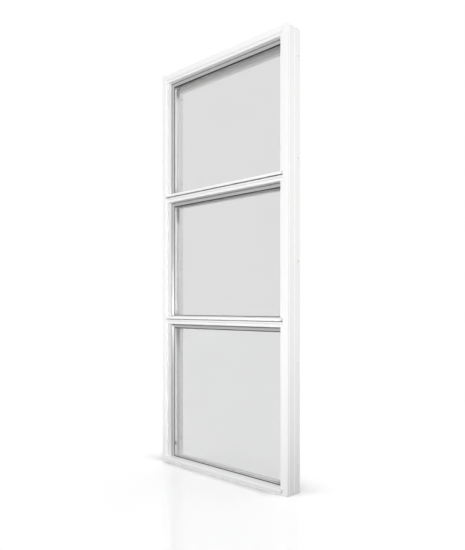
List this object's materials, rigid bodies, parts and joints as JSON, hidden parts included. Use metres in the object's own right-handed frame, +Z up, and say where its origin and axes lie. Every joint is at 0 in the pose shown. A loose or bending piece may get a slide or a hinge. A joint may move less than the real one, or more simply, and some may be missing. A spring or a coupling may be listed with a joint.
{
  "type": "fixed picture window",
  "caption": "Tall fixed picture window: white painted timber frame with stacked sealed glass lights, moulded glazing beads and drip-nosed bottom profiles.",
  "frame": {"origin": "under the middle of the window, on the plane that its sill stands on, drip noses included in the depth", "axes": "+X to the right seen from outside, +Y from the outside to the inside, +Z up"},
  "size_m": [0.98, 0.112, 2.38],
  "materials": {
    "painted_timber": "white opaque paint, satin",
    "painted_bead": "white opaque paint, satin",
    "coated_profile": "white powder coat",
    "end_cap": "moulded, matt",
    "clip": "moulded, matt",
    "pane": "clear float glass",
    "spacer": "pale warm-edge bar, satin",
    "edge_seal": "pale grey matt sealant",
    "gasket": "matt, extruded",
    "tape": "matt foam",
    "setting_block": "moulded, matt"
  },
  "bodies": {
    "root": {"left_jamb": "painted_timber", "right_jamb": "painted_timber", "head": "painted_timber", "sill": "painted_timber", "lower_transom": "painted_timber", "upper_transom": "painted_timber", "bottom_left_bead": "painted_bead", "bottom_right_bead": "painted_bead", "bottom_head_bead": "painted_bead", "bottom_outer_pane": "pane", "bottom_middle_pane": "pane", "bottom_inner_pane": "pane", "bottom_outer_spacer": "spacer", "bottom_inner_spacer": "spacer", "bottom_edge_seals": "edge_seal", "bottom_outer_gasket": "gasket", "bottom_bead_strips": "gasket", "bottom_inner_tape": "tape", "bottom_setting_blocks": "setting_block", "bottom_bottom_profile": "coated_profile", "bottom_profile_end_caps": "end_cap", "bottom_profile_clips": "clip", "middle_left_bead": "painted_bead", "middle_right_bead": "painted_bead", "middle_head_bead": "painted_bead", "middle_outer_pane": "pane", "middle_middle_pane": "pane", "middle_inner_pane": "pane", "middle_outer_spacer": "spacer", "middle_inner_spacer": "spacer", "middle_edge_seals": "edge_seal", "middle_outer_gasket": "gasket", "middle_bead_strips": "gasket", "middle_inner_tape": "tape", "middle_setting_blocks": "setting_block", "middle_bottom_profile": "coated_profile", "middle_profile_end_caps": "end_cap", "middle_profile_clips": "clip", "top_left_bead": "painted_bead", "top_right_bead": "painted_bead", "top_head_bead": "painted_bead", "top_outer_pane": "pane", "top_middle_pane": "pane", "top_inner_pane": "pane", "top_outer_spacer": "spacer", "top_inner_spacer": "spacer", "top_edge_seals": "edge_seal", "top_outer_gasket": "gasket", "top_bead_strips": "gasket", "top_inner_tape": "tape", "top_setting_blocks": "setting_block", "top_bottom_profile": "coated_profile", "top_profile_end_caps": "end_cap", "top_profile_clips": "clip"}
  },
  "joints": []
}
